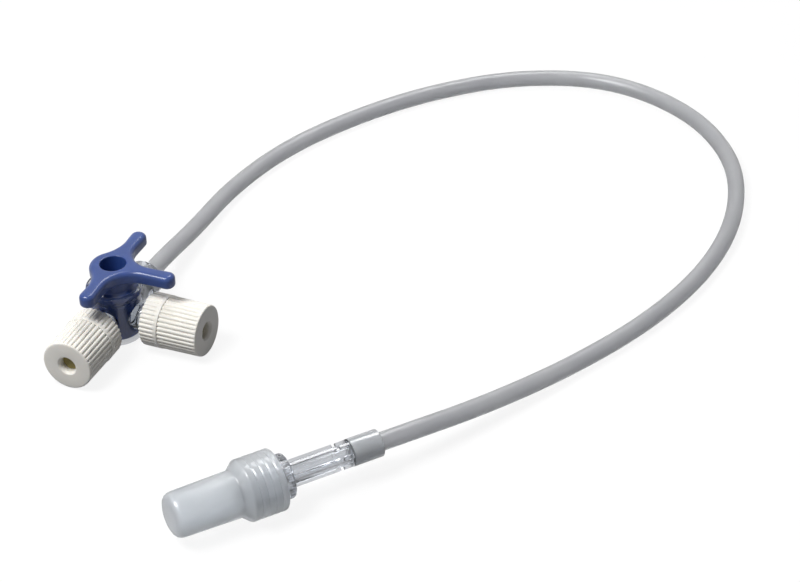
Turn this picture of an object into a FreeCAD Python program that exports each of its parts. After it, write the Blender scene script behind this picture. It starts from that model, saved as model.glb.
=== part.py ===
"""Three way stopcock with two injection stoppers, and an extension tube with a capped luer lock connector.

Millimetres. The origin is at the foot of the barrel, on the surface that the set lies on.
+Z is the axis of the plug and handle, -Y the inline port, +X the side port, +Y the outlet with the tube.
"""

import FreeCAD, Part
import math
import os

import Sketcher
from FreeCAD import Placement, Rotation, Vector

doc = FreeCAD.newDocument("StopcockSet")


# Driving dimensions, one named cell each

SIZES = {
    # housing
    "port_height": 6.25,
    "barrel_radius": 5.9,
    "foot_chamfer": 0.45,
    "floor_thickness": 1.0,
    "rim_radius": 6.5,
    "rim_height": 1.4,
    "rim_above_port": 7.1,
    "rim_wall": 1.05,
    "neck_radius": 3.3,
    "luer_mouth_radius": 2.155,
    "luer_depth": 7.8,
    "luer_taper": 0.03,
    "flow_radius": 1.25,
    "lug_radius": 3.9,
    "lug_length": 2.0,
    "lug_angle": 64,
    "socket_radius": 4.5,
    "socket_start": 9.0,
    "socket_mouth": 14.5,
    "socket_depth": 6.9,
    "lug_root": 0.4,
    # plug and handle
    "plug_radius": 4.1,
    "snap_depth": 0.25,
    "snap_length": 0.8,
    "snap_above_port": 3.7,
    "handle_above_port": 13.05,
    "plate_thickness": 3.2,
    "arm_width": 3.5,
    "arm_reach": 14.5,
    "side_arm_reach": 15.4,
    "arm_blend": 6.5,
    "hub_radius": 5.15,
    "hub_offset": 0.1,
    "plate_edge": 0.7,
    "core_hole_radius": 3.05,
    "core_hole_depth": 8.5,
    "core_hole_edge": 0.3,
    # injection stoppers
    "stopper_start": 8.9,
    "flange_radius": 6.25,
    "flange_length": 3.6,
    "ring_length": 1.0,
    "cap_radius": 6.1,
    "cap_length": 9.8,
    "rib_count": 36,
    "rib_depth": 0.34,
    "rib_gap": 0.62,
    "stopper_bore_radius": 4.15,
    "stopper_bore_depth": 8.2,
    "web_thickness": 1.2,
    "spigot_radius": 4.95,
    "nose_length": 7.2,
    "needle_radius": 1.0,
    "septum_thickness": 3.0,
    "needle_hole_radius": 2.05,
    # extension tube
    "tube_outer": 4.1,
    "tube_sides": 10,
    # connector, measured back from the protector's tip
    "connector_turn": 51.6,
    "sleeve_mouth_x": 76.3,
    "sleeve_mouth_y": -23.9,
    "protector_nose_radius": 4.95,
    "protector_nose_root": 5.2,
    "protector_nose_length": 15.0,
    "protector_tip_edge": 1.5,
    "shoulder_length": 1.9,
    "skirt_radius": 6.85,
    "skirt_length": 7.75,
    "protector_wall": 1.0,
    "collar_radius": 4.95,
    "collar_length": 9.2,
    "collar_showing": 2.5,
    "collar_bore_radius": 3.95,
    "collar_wall": 1.4,
    "collar_rib_count": 18,
    "collar_rib_depth": 0.22,
    "collar_rib_gap": 0.9,
    "male_luer_tip_radius": 1.98,
    "male_luer_length": 8.8,
    "hub_flange_radius": 3.5,
    "hub_flange_length": 1.0,
    "shank_radius": 2.3,
    "fin_radius": 3.0,
    "fin_width": 0.8,
    "fin_count": 6,
    "fin_length": 14.4,
    "notch_start": 11.3,
    "notch_width": 0.9,
    "sleeve_radius": 3.08,
    "sleeve_length": 7.2,
    # clearances
    "running_clearance": 0.05,
    "press_clearance": 0.02,
    "face_clearance": 0.15,
    "loose_clearance": 0.3,
}


class Size:
    """A length worked out from the sheet's cells: its value, and the same sum as an expression."""

    def __init__(self, value, text):
        self.value = float(value)
        self.text = text

    @staticmethod
    def of(other):
        return other if isinstance(other, Size) else Size(other, repr(float(other)))

    def __add__(self, other):
        other = Size.of(other)
        return Size(self.value + other.value, f"({self.text} + {other.text})")

    def __sub__(self, other):
        other = Size.of(other)
        return Size(self.value - other.value, f"({self.text} - {other.text})")

    def __mul__(self, other):
        other = Size.of(other)
        return Size(self.value * other.value, f"({self.text} * {other.text})")

    def __truediv__(self, other):
        other = Size.of(other)
        return Size(self.value / other.value, f"({self.text} / {other.text})")

    def __neg__(self):
        return Size(-self.value, f"(0 - {self.text})")

    def root(self):
        return Size(math.sqrt(self.value), f"sqrt({self.text})")


class Sizes:
    """The sheet's cells by name, each as a Size."""

    def __init__(self, values):
        sheet = doc.addObject("Spreadsheet::Sheet", "Dimensions")
        for row, (name, value) in enumerate(values.items(), start=1):
            sheet.set(f"A{row}", name)
            sheet.set(f"B{row}", str(value))
            sheet.setAlias(f"B{row}", name)
        doc.recompute()
        self.sheet = sheet

    def __getattr__(self, name):
        return Size(self.sheet.get(name), f"Dimensions.{name}")


s = Sizes(SIZES)
ZERO = Size(0, "0")


# Helpers for bodies and sketches


def new_body(label):
    body = doc.addObject("PartDesign::Body", label)
    body.Label = label
    return body


def plane_of(body, role):
    return next(f for f in body.Origin.OriginFeatures if f.Role == role)


def new_sketch(body, name, role, offset=None):
    """A sketch on one of the body's origin planes, moved off it along its normal."""
    sketch = body.newObject("Sketcher::SketchObject", name)
    sketch.AttachmentSupport = [(plane_of(body, role), "")]
    sketch.MapMode = "FlatFace"
    if offset is not None:
        sketch.setExpression("AttachmentOffset.Base.z", offset.text)
    return sketch


def fix_distance(sketch, kind, index, place, size):
    """Holds a point's distance from the sketch's axis at a size, whichever side it is on."""
    number = sketch.addConstraint(Sketcher.Constraint(kind, -1, 1, index, place, size.value))
    sketch.setExpression(f"Constraints[{number}]", size.text)


def polygon(sketch, corners):
    """A closed outline of straight lines through corners given as pairs of Sizes."""
    first = sketch.GeometryCount
    points = [Vector(Size.of(x).value, Size.of(y).value, 0) for x, y in corners]
    for here, there in zip(points, points[1:] + points[:1]):
        sketch.addGeometry(Part.LineSegment(here, there), False)
    for k in range(len(points)):
        after = first + (k + 1) % len(points)
        sketch.addConstraint(Sketcher.Constraint("Coincident", first + k, 2, after, 1))
    for k, (x, y) in enumerate(corners):
        fix_distance(sketch, "DistanceX", first + k, 1, Size.of(x))
        fix_distance(sketch, "DistanceY", first + k, 1, Size.of(y))


def circle(sketch, x, y, radius):
    centre = Vector(Size.of(x).value, Size.of(y).value, 0)
    index = sketch.addGeometry(Part.Circle(centre, Vector(0, 0, 1), radius.value), False)
    fix_distance(sketch, "DistanceX", index, 3, Size.of(x))
    fix_distance(sketch, "DistanceY", index, 3, Size.of(y))
    number = sketch.addConstraint(Sketcher.Constraint("Radius", index, radius.value))
    sketch.setExpression(f"Constraints[{number}]", radius.text)


def turned(body, name, corners, role="XZ_Plane", axis="V_Axis", offset=None, cut=False, angle=None):
    """Turns an outline about an axis of its sketch, to add to the body or to cut from it.

    With V_Axis the corners are (radius, along), with H_Axis (along, radius).
    """
    sketch = new_sketch(body, name + "_outline", role, offset)
    polygon(sketch, corners)
    before = volume_of(body)
    kind = "PartDesign::Groove" if cut else "PartDesign::Revolution"
    feature = body.newObject(kind, name)
    feature.Profile = sketch
    feature.ReferenceAxis = (sketch, [axis])
    if angle is None:
        feature.Angle = 360
    else:
        feature.Midplane = True
        feature.setExpression("Angle", angle.text)
    finish(body, feature, sketch)
    changed(body, name, before, cut)
    return feature


def padded(body, name, sketch, length, cut=False, midplane=False, reverse=False):
    """Pushes a sketch's outline out to a length, to add to the body or to cut from it."""
    before = volume_of(body)
    feature = body.newObject("PartDesign::Pocket" if cut else "PartDesign::Pad", name)
    feature.Profile = sketch
    feature.Midplane = midplane
    feature.Reversed = reverse
    feature.setExpression("Length", length.text)
    finish(body, feature, sketch)
    changed(body, name, before, cut)
    return feature


def repeated(body, name, feature, axis_sketch, count):
    """Repeats a feature round the normal axis of a sketch."""
    before = body.Shape.Volume
    pattern = body.newObject("PartDesign::PolarPattern", name)
    pattern.Originals = [feature]
    pattern.Axis = (axis_sketch, ["N_Axis"])
    pattern.Angle = 360
    pattern.setExpression("Occurrences", count.text)
    body.Tip = pattern
    doc.recompute()
    if abs(body.Shape.Volume - before) < 1e-6:
        raise RuntimeError(f"{name} repeated nothing")
    return pattern


def volume_of(body):
    return 0.0 if body.Shape.isNull() else body.Shape.Volume


def finish(body, feature, sketch=None):
    if sketch is not None:
        sketch.Visibility = False
    body.Tip = feature
    doc.recompute()


def changed(body, name, before, cut):
    """Stops when a feature left the body's volume as it was, or changed it the wrong way."""
    gained = body.Shape.Volume - before
    if (gained > -1e-6) if cut else (gained < 1e-6):
        raise RuntimeError(f"{name} changed the volume by {gained:.4f}")


def chamfered(body, name, size, wanted):
    """Chamfers the edges of the body's last feature that wanted(edge) picks."""
    base = body.Tip
    picked = [f"Edge{k}" for k, e in enumerate(base.Shape.Edges, start=1) if wanted(e)]
    if not picked:
        raise RuntimeError(f"{name} found no edge")
    before = volume_of(body)
    chamfer = body.newObject("PartDesign::Chamfer", name)
    chamfer.Base = (base, picked)
    chamfer.setExpression("Size", size.text)
    finish(body, chamfer)
    changed(body, name, before, cut=True)
    return chamfer


# Sizes that several pieces share

bore_radius = s.plug_radius + s.running_clearance
rim_top = s.port_height + s.rim_above_port
cup_floor = rim_top - s.rim_height
cup_radius = s.rim_radius - s.rim_wall
snap_height = s.port_height + s.snap_above_port
port_mouth = s.stopper_start + s.stopper_bore_depth - s.face_clearance
tube_radius = s.tube_outer / 2
tube_bore_radius = tube_radius + s.press_clearance
socket_seat = s.socket_mouth - s.socket_depth


def female_radius(depth):
    """The tapered port's radius at a depth from its mouth."""
    return s.luer_mouth_radius - s.luer_taper * depth


# Housing


def make_housing():
    body = new_body("housing")
    z = s.port_height
    turned(
        body,
        "barrel",
        [
            (ZERO, ZERO),
            (s.barrel_radius - s.foot_chamfer, ZERO),
            (s.barrel_radius, s.foot_chamfer),
            (s.barrel_radius, cup_floor),
            (s.rim_radius, cup_floor),
            (s.rim_radius, rim_top),
            (ZERO, rim_top),
        ],
    )
    luer_port(body, "inline_port", z, "V_Axis")
    luer_port(body, "side_port", z, "H_Axis")
    tube_socket(body, z)
    turned(
        body,
        "plug_bore",
        [
            (ZERO, s.floor_thickness),
            (bore_radius, s.floor_thickness),
            (bore_radius, snap_height),
            (bore_radius - s.snap_depth, snap_height + s.snap_length / 2),
            (bore_radius, snap_height + s.snap_length),
            (bore_radius, cup_floor),
            (cup_radius, cup_floor),
            (cup_radius, rim_top),
            (ZERO, rim_top),
        ],
        cut=True,
    )
    luer_bore(body, "inline_bore", z, "V_Axis")
    luer_bore(body, "side_bore", z, "H_Axis")
    turned(
        body,
        "socket_bore",
        [
            (ZERO, ZERO),
            (s.flow_radius, ZERO),
            (s.flow_radius, socket_seat),
            (tube_bore_radius, socket_seat),
            (tube_bore_radius, s.socket_mouth),
            (ZERO, s.socket_mouth),
        ],
        "XY_Plane",
        offset=z,
        cut=True,
    )
    return body


def along_port(axis, corners):
    """The corners (radius, along) of a port, along -Y for V_Axis or +X for H_Axis."""
    if axis == "V_Axis":
        return [(r, -Size.of(a)) for r, a in corners]
    return [(a, r) for r, a in corners]


def luer_port(body, name, height, axis):
    """A female luer lock port: a straight neck with two lugs at the mouth."""
    neck = [
        (ZERO, ZERO),
        (s.neck_radius, ZERO),
        (s.neck_radius, port_mouth),
        (ZERO, port_mouth),
    ]
    turned(body, name, along_port(axis, neck), "XY_Plane", axis, height)
    inner = s.neck_radius - s.lug_root
    for side, sign in (("a", 1), ("b", -1)):
        lug = [
            (inner * sign, port_mouth - s.lug_length),
            (s.lug_radius * sign, port_mouth - s.lug_length),
            (s.lug_radius * sign, port_mouth),
            (inner * sign, port_mouth),
        ]
        turned(body, f"{name}_lug_{side}", along_port(axis, lug), "XY_Plane", axis, height, angle=s.lug_angle)


def luer_bore(body, name, height, axis):
    """The taper of a port, and the channel on to the plug."""
    taper_end = port_mouth - s.luer_depth
    bore = [
        (ZERO, ZERO),
        (s.flow_radius, ZERO),
        (s.flow_radius, taper_end),
        (female_radius(s.luer_depth), taper_end),
        (s.luer_mouth_radius, port_mouth),
        (ZERO, port_mouth),
    ]
    turned(body, name, along_port(axis, bore), "XY_Plane", axis, height, cut=True)


def tube_socket(body, height):
    """The outlet: a neck and the collar that the tube is bonded into."""
    turned(
        body,
        "tube_socket",
        [
            (ZERO, ZERO),
            (s.neck_radius, ZERO),
            (s.neck_radius, s.socket_start),
            (s.socket_radius, s.socket_start),
            (s.socket_radius, s.socket_mouth),
            (ZERO, s.socket_mouth),
        ],
        "XY_Plane",
        offset=height,
    )


# Plug and handle, one moulding


def make_handle_plug():
    body = new_body("handle_plug")
    skirt_radius = cup_radius - s.loose_clearance
    skirt_bottom = cup_floor + s.face_clearance
    plate_top = s.port_height + s.handle_above_port
    plate_bottom = plate_top - s.plate_thickness
    groove_radius = s.plug_radius - s.snap_depth
    turned(
        body,
        "plug",
        [
            (ZERO, s.floor_thickness + s.face_clearance),
            (s.plug_radius, s.floor_thickness + s.face_clearance),
            (s.plug_radius, snap_height - s.face_clearance),
            (groove_radius, snap_height + s.snap_length / 2),
            (s.plug_radius, snap_height + s.snap_length + s.face_clearance),
            (s.plug_radius, skirt_bottom),
            (skirt_radius, skirt_bottom),
            (skirt_radius, plate_bottom + s.plate_edge),
            (ZERO, plate_bottom + s.plate_edge),
        ],
    )
    outline = new_sketch(body, "arm_outline", "XY_Plane", plate_bottom)
    arm_outline(outline)
    plate = padded(body, "arm_plate", outline, s.plate_thickness)
    plate.Refine = True
    doc.recompute()

    def top_edge(edge):
        return all(abs(v.Point.z - plate_top.value) < 1e-6 for v in edge.Vertexes)

    chamfered(body, "arm_edges", s.plate_edge, top_edge)
    turned(
        body,
        "core_hole",
        [
            (ZERO, plate_top - s.core_hole_depth),
            (s.core_hole_radius, plate_top - s.core_hole_depth),
            (s.core_hole_radius, plate_top - s.core_hole_edge),
            (s.core_hole_radius + s.core_hole_edge, plate_top),
            (ZERO, plate_top),
        ],
        cut=True,
    )
    through = new_sketch(body, "through_channel_end", "XZ_Plane")
    circle(through, ZERO, s.port_height, s.flow_radius)
    padded(body, "through_channel", through, s.plug_radius * 3, cut=True, midplane=True)
    branch = new_sketch(body, "branch_channel_end", "YZ_Plane")
    circle(branch, ZERO, s.port_height, s.flow_radius)
    padded(body, "branch_channel", branch, s.plug_radius * 2, cut=True, reverse=True)
    return body


def arm_outline(sketch):
    """Three arms at right angles and a round hub, joined by hollow curves. Every join is tangent."""
    half = s.arm_width / 2
    centre = half + s.arm_blend
    tip = s.arm_reach - half
    side_tip = s.side_arm_reach - half
    hub_x = -s.hub_offset
    reach = s.hub_radius + s.arm_blend
    across = centre - s.hub_offset
    blend_y = (reach * reach - across * across).root()
    share = s.hub_radius / reach
    touch_x = hub_x - across * share
    touch_y = blend_y * share

    corners = [
        ("line", (half, -tip), (half, -centre)),
        ("hollow", (centre, -centre), (half, -centre), (centre, -half)),
        ("line", (centre, -half), (side_tip, -half)),
        ("round", (side_tip, ZERO), (side_tip, -half), (side_tip, half)),
        ("line", (side_tip, half), (centre, half)),
        ("hollow", (centre, centre), (centre, half), (half, centre)),
        ("line", (half, centre), (half, tip)),
        ("round", (ZERO, tip), (half, tip), (-half, tip)),
        ("line", (-half, tip), (-half, blend_y)),
        ("hollow", (-centre, blend_y), (-half, blend_y), (touch_x, touch_y)),
        ("round", (hub_x, ZERO), (touch_x, touch_y), (touch_x, -touch_y)),
        ("hollow", (-centre, -blend_y), (touch_x, -touch_y), (-half, -blend_y)),
        ("line", (-half, -blend_y), (-half, -tip)),
        ("round", (ZERO, -tip), (-half, -tip), (half, -tip)),
    ]
    ends = []
    for kind, *rest in corners:
        if kind == "line":
            start, end = rest
            index = sketch.addGeometry(Part.LineSegment(point(start), point(end)), False)
            ends.append((index, 1, 2))
            continue
        middle, start, end = rest
        first, last = angle(middle, start), angle(middle, end)
        if kind == "hollow":
            first, last = last, first
        radius = (point(start) - point(middle)).Length
        base = Part.Circle(point(middle), Vector(0, 0, 1), radius)
        index = sketch.addGeometry(Part.ArcOfCircle(base, first, last), False)
        ends.append((index, 2, 1) if kind == "hollow" else (index, 1, 2))
    for (here, _, here_end), (after, after_start, _) in zip(ends, ends[1:] + ends[:1]):
        sketch.addConstraint(Sketcher.Constraint("Coincident", here, here_end, after, after_start))
    for (kind, *rest), (index, start_place, _) in zip(corners, ends):
        start, end = rest[-2:]
        fix_distance(sketch, "DistanceX", index, start_place, Size.of(start[0]))
        fix_distance(sketch, "DistanceY", index, start_place, Size.of(start[1]))
        if kind == "line":
            continue
        chord = point(end) - point(start)
        if abs(chord.x) > abs(chord.y):
            fix_distance(sketch, "DistanceY", index, 3, Size.of(rest[0][1]))
        else:
            fix_distance(sketch, "DistanceX", index, 3, Size.of(rest[0][0]))


def point(pair):
    return Vector(Size.of(pair[0]).value, Size.of(pair[1]).value, 0)


def angle(middle, rim):
    away = point(rim) - point(middle)
    return math.atan2(away.y, away.x)


# Injection stoppers, two alike. Local Z runs out from the rear face.

ring_end = s.flange_length + s.ring_length
spigot_end = s.stopper_bore_depth + s.web_thickness
cap_end = ring_end + s.cap_length
nose_tip = s.stopper_bore_depth - s.nose_length


def nose_radius(along):
    """The male nose's radius where it lies in the port, at a distance from the stopper's rear face."""
    return female_radius(port_mouth - s.stopper_start - along) - s.running_clearance


def grooved(body, name, start, length, outer, count, depth, gap):
    """V grooves along a round piece, from a height up, spaced evenly round it."""
    sketch = new_sketch(body, name + "_end", "XY_Plane", start)
    beyond = outer + depth
    polygon(sketch, [(outer - depth, ZERO), (beyond, gap), (beyond, -gap)])
    cut = padded(body, name, sketch, length, cut=True, reverse=True)
    return repeated(body, name + "s", cut, sketch, count)


def ribbed(body, name, start, length, outer):
    """A ribbed solid: a prism with a side for each rib, and a V groove along each of its corners."""
    prism = body.newObject("PartDesign::AdditivePrism", name)
    prism.setExpression("Polygon", s.rib_count.text)
    prism.setExpression("Circumradius", outer.text)
    prism.setExpression("Height", length.text)
    prism.AttachmentSupport = [(plane_of(body, "XY_Plane"), "")]
    prism.MapMode = "FlatFace"
    prism.setExpression("AttachmentOffset.Base.z", start.text)
    finish(body, prism)
    grooved(body, name + "_groove", start, length, outer, s.rib_count, s.rib_depth, s.rib_gap)


def make_stopper_base(label):
    body = new_body(label)
    ribbed(body, "flange", ZERO, s.flange_length, s.flange_radius)
    turned(
        body,
        "ring_and_spigot",
        [
            (ZERO, s.flange_length),
            (s.flange_radius, s.flange_length),
            (s.flange_radius, ring_end),
            (s.spigot_radius, ring_end),
            (s.spigot_radius, spigot_end),
            (ZERO, spigot_end),
        ],
    )
    turned(
        body,
        "port_space",
        [
            (nose_radius(ZERO), ZERO),
            (s.stopper_bore_radius, ZERO),
            (s.stopper_bore_radius, s.stopper_bore_depth),
            (nose_radius(s.stopper_bore_depth), s.stopper_bore_depth),
        ],
        cut=True,
    )
    turned(
        body,
        "nose_end",
        [
            (ZERO, ZERO),
            (s.stopper_bore_radius, ZERO),
            (s.stopper_bore_radius, nose_tip),
            (s.needle_radius, nose_tip),
            (s.needle_radius, spigot_end),
            (ZERO, spigot_end),
        ],
        cut=True,
    )
    return body


def make_stopper_cap(label):
    body = new_body(label)
    shelf = spigot_end + s.septum_thickness
    ribbed(body, "sleeve", ring_end, s.cap_length, s.cap_radius)
    turned(
        body,
        "inside",
        [
            (ZERO, ring_end),
            (s.spigot_radius + s.press_clearance, ring_end),
            (s.spigot_radius + s.press_clearance, shelf),
            (s.needle_hole_radius, shelf),
            (s.needle_hole_radius, cap_end),
            (ZERO, cap_end),
        ],
        cut=True,
    )
    return body


def make_septum(label):
    disc = doc.addObject("Part::Cylinder", label)
    disc.Label = label
    disc.setExpression("Radius", s.spigot_radius.text)
    disc.setExpression("Height", s.septum_thickness.text)
    return disc


def stopper(port, turn, direction):
    """The three pieces of a stopper, pushed onto the port that points along direction."""
    pieces = [
        (make_stopper_base(f"stopper_{port}_base"), ZERO),
        (make_septum(f"stopper_{port}_septum"), spigot_end),
        (make_stopper_cap(f"stopper_{port}_cap"), ZERO),
    ]
    for piece, along in pieces:
        out = s.stopper_start + along
        piece.Placement = Placement(Vector(), turn)
        piece.setExpression("Placement.Base.x", (out * direction.x).text)
        piece.setExpression("Placement.Base.y", (out * direction.y).text)
        piece.setExpression("Placement.Base.z", s.port_height.text)
    return [piece for piece, _ in pieces]


# Connector. Local Z runs from the protector's tip to the mouth of the sleeve.

shoulder_end = s.protector_nose_length + s.shoulder_length
skirt_end = shoulder_end + s.skirt_length
collar_end = skirt_end + s.collar_showing
collar_start = collar_end - s.collar_length
collar_floor = collar_end - s.collar_wall
hub_flange_end = collar_floor - s.face_clearance
hub_flange_start = hub_flange_end - s.hub_flange_length
fin_start = collar_end + s.face_clearance
sleeve_start = fin_start + s.fin_length
sleeve_end = sleeve_start + s.sleeve_length


def place_on_connector(piece):
    """Lays a piece on the connector's axis, at the height of the skirt that it rests on."""
    turn = math.radians(s.connector_turn.value)
    along = Vector(math.cos(turn), math.sin(turn), 0)
    piece.Placement = Placement(Vector(), Rotation(Vector(0, 0, 1), along))
    heading = f"cos({s.connector_turn.text} * 1 deg)", f"sin({s.connector_turn.text} * 1 deg)"
    piece.setExpression("Placement.Base.x", f"{s.sleeve_mouth_x.text} - {sleeve_end.text} * {heading[0]}")
    piece.setExpression("Placement.Base.y", f"{s.sleeve_mouth_y.text} - {sleeve_end.text} * {heading[1]}")
    piece.setExpression("Placement.Base.z", s.skirt_radius.text)


def make_luer_hub():
    body = new_body("luer_hub")
    luer_tip = hub_flange_start - s.male_luer_length
    luer_root_radius = s.male_luer_tip_radius + s.luer_taper * s.male_luer_length
    turned(
        body,
        "shank",
        [
            (ZERO, luer_tip),
            (s.male_luer_tip_radius, luer_tip),
            (luer_root_radius, hub_flange_start),
            (s.hub_flange_radius, hub_flange_start),
            (s.hub_flange_radius, hub_flange_end),
            (s.shank_radius, hub_flange_end),
            (s.shank_radius, sleeve_start),
            (s.sleeve_radius, sleeve_start),
            (s.sleeve_radius, sleeve_end),
            (ZERO, sleeve_end),
        ],
    )
    fin_end = new_sketch(body, "fin_end", "XY_Plane", fin_start)
    half = s.fin_width / 2
    inner = s.flow_radius
    polygon(fin_end, [(inner, -half), (s.fin_radius, -half), (s.fin_radius, half), (inner, half)])
    fin = padded(body, "fin", fin_end, s.fin_length)
    repeated(body, "fins", fin, fin_end, s.fin_count)
    notch_start = fin_start + s.notch_start
    notch_end = notch_start + s.notch_width
    beyond = s.fin_radius + s.fin_width
    turned(
        body,
        "fin_notch",
        [
            (s.shank_radius, notch_start),
            (beyond, notch_start),
            (beyond, notch_end),
            (s.shank_radius, notch_end),
        ],
        cut=True,
    )
    tube_seat = sleeve_start + s.face_clearance
    turned(
        body,
        "hub_bore",
        [
            (ZERO, luer_tip),
            (s.flow_radius, luer_tip),
            (s.flow_radius, tube_seat),
            (tube_bore_radius, tube_seat),
            (tube_bore_radius, sleeve_end),
            (ZERO, sleeve_end),
        ],
        cut=True,
    )
    place_on_connector(body)
    return body


def make_lock_collar():
    body = new_body("lock_collar")
    turned(
        body,
        "collar",
        [
            (s.collar_bore_radius, collar_start),
            (s.collar_radius, collar_start),
            (s.collar_radius, collar_end),
            (s.shank_radius + s.running_clearance, collar_end),
            (s.shank_radius + s.running_clearance, collar_floor),
            (s.collar_bore_radius, collar_floor),
        ],
    )
    grooved(
        body,
        "collar_groove",
        collar_start,
        s.collar_length,
        s.collar_radius,
        s.collar_rib_count,
        s.collar_rib_depth,
        s.collar_rib_gap / 2,
    )
    place_on_connector(body)
    return body


def make_tip_protector():
    body = new_body("tip_protector")
    cavity_radius = s.collar_radius + s.loose_clearance
    inner_radius = s.protector_nose_radius - s.protector_wall
    turned(
        body,
        "protector",
        [
            (ZERO, ZERO),
            (s.protector_nose_radius - s.protector_tip_edge, ZERO),
            (s.protector_nose_radius, s.protector_tip_edge),
            (s.protector_nose_root, s.protector_nose_length),
            (s.skirt_radius, shoulder_end),
            (s.skirt_radius, skirt_end),
            (cavity_radius, skirt_end),
            (cavity_radius, shoulder_end - s.loose_clearance),
            (inner_radius, shoulder_end - s.loose_clearance),
            (inner_radius, s.protector_wall),
            (ZERO, s.protector_wall),
        ],
    )
    place_on_connector(body)
    return body


# Extension tube, lying on the surface in one loose loop

LOOP = [
    (0.0, 22.0, 6.25),
    (-1.1, 40.5, 3.0),
    (-1.7, 62.0, 2.05),
    (2.9, 83.8, 2.05),
    (12.9, 104.0, 2.05),
    (26.6, 122.8, 2.05),
    (45.6, 138.9, 2.05),
    (69.6, 145.9, 2.05),
    (94.2, 137.4, 2.05),
    (111.5, 118.9, 2.05),
    (119.5, 95.1, 2.05),
    (120.0, 70.0, 2.05),
    (113.7, 44.9, 2.05),
    (102.4, 21.2, 2.05),
    (90.9, -1.4, 4.5),
]


def tube_route():
    """The route's points: the seat in the socket, the loop, and the seat in the sleeve."""
    turn = math.radians(s.connector_turn.value)
    along = Vector(math.cos(turn), math.sin(turn), 0)
    mouth = Vector(s.sleeve_mouth_x.value, s.sleeve_mouth_y.value, s.skirt_radius.value)
    inside = s.sleeve_length.value - s.face_clearance.value
    start = Vector(0, socket_seat.value, s.port_height.value)
    straight_out = along * inside
    return [start] + [Vector(*p) for p in LOOP] + [mouth + straight_out, mouth - straight_out]


def tube_wire(points):
    """Straight runs joined by tangent arcs, each arc as large as its two runs allow."""
    edges, radii, here = [], [], points[0]
    for before, corner, after in zip(points, points[1:], points[2:]):
        back, on = (before - corner), (after - corner)
        turn = math.pi - back.getAngle(on)
        cut = 0.45 * min(back.Length, on.Length)
        radius = cut / math.tan(turn / 2)
        back.normalize()
        on.normalize()
        first, last = corner + back * cut, corner + on * cut
        inward = (back + on).normalize()
        middle = corner + inward * (radius / math.cos(turn / 2) - radius)
        edges += [Part.LineSegment(here, first).toShape(), Part.Arc(first, middle, last).toShape()]
        radii.append(radius)
        here = last
    edges.append(Part.LineSegment(here, points[-1]).toShape())
    return Part.Wire(edges), radii


def swept(wire, radius, start, heading):
    """Sweeps an even-sided outline as large in area as the circle, with a flat side down."""
    sides = round(s.tube_sides.value)
    corner_radius = radius * math.sqrt(2 * math.pi / sides / math.sin(2 * math.pi / sides))
    across = heading.cross(Vector(0, 0, 1)).normalize()
    up = across.cross(heading).normalize()
    corners = []
    for k in range(sides + 1):
        turn = 2 * math.pi * (k + 0.5) / sides
        corners.append(start + (up * math.cos(turn) + across * math.sin(turn)) * corner_radius)
    return wire.makePipeShell([Part.makePolygon(corners)], True, False, 2)


def make_extension_tube():
    points = tube_route()
    wire, radii = tube_wire(points)
    heading = points[1] - points[0]
    shape = swept(wire, tube_radius.value, points[0], heading)
    section = math.pi * tube_radius.value**2
    print("tube length %.1f, radii %s" % (wire.Length, [round(r, 1) for r in radii]))
    print("tube volume %.2f, section times length %.2f" % (shape.Volume, section * wire.Length))
    if abs(shape.Volume / (section * wire.Length) - 1) > 0.01:
        raise RuntimeError("the tube's volume isn't its section times its length")
    tube = doc.addObject("Part::Feature", "extension_tube")
    tube.Label = "extension_tube"
    tube.Shape = shape
    tube.Placement = Placement()
    return tube


# Build, check and write

parts = [
    make_housing(),
    make_handle_plug(),
    *stopper("inline", Rotation(Vector(0, 0, 1), Vector(0, -1, 0)), Vector(0, -1, 0)),
    *stopper("side", Rotation(Vector(0, 0, 1), Vector(1, 0, 0)), Vector(1, 0, 0)),
    make_extension_tube(),
    make_luer_hub(),
    make_lock_collar(),
    make_tip_protector(),
]
doc.recompute()

for item in doc.Objects:
    if "Invalid" in item.State or "Error" in item.State:
        raise RuntimeError(f"{item.Label} failed: {item.State}")
for piece in parts:
    if piece.Shape.isNull() or not piece.Shape.isValid():
        raise RuntimeError(f"{piece.Label} has no valid shape")
    if len(piece.Shape.Solids) != 1:
        raise RuntimeError(f"{piece.Label} has {len(piece.Shape.Solids)} solids")

os.makedirs("parts", exist_ok=True)
for piece in parts:
    piece.Shape.exportStep(f"parts/{piece.Label}.step")
    box = piece.Shape.BoundBox
    print(
        "%-22s volume %8.2f  x %.2f %.2f  y %.2f %.2f  z %.2f %.2f"
        % (piece.Label, piece.Shape.Volume, box.XMin, box.XMax, box.YMin, box.YMax, box.ZMin, box.ZMax)
    )
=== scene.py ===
import math

import bmesh
import bpy
from mathutils import Matrix, Vector


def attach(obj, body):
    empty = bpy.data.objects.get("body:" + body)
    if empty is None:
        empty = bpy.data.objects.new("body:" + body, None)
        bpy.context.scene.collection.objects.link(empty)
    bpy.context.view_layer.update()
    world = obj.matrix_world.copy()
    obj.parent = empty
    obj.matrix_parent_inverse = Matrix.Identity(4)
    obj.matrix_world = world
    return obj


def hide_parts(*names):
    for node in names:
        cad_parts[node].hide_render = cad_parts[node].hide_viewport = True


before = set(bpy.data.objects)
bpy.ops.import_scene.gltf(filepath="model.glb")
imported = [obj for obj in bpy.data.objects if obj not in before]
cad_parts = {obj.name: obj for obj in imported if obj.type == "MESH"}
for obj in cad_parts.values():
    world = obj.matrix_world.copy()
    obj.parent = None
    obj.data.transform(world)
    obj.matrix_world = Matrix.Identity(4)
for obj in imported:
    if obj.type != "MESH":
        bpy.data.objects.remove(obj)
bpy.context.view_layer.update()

MM = 0.001
UP = Vector((0, 0, 1))


# Camera, at the photograph's viewing angle

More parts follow.
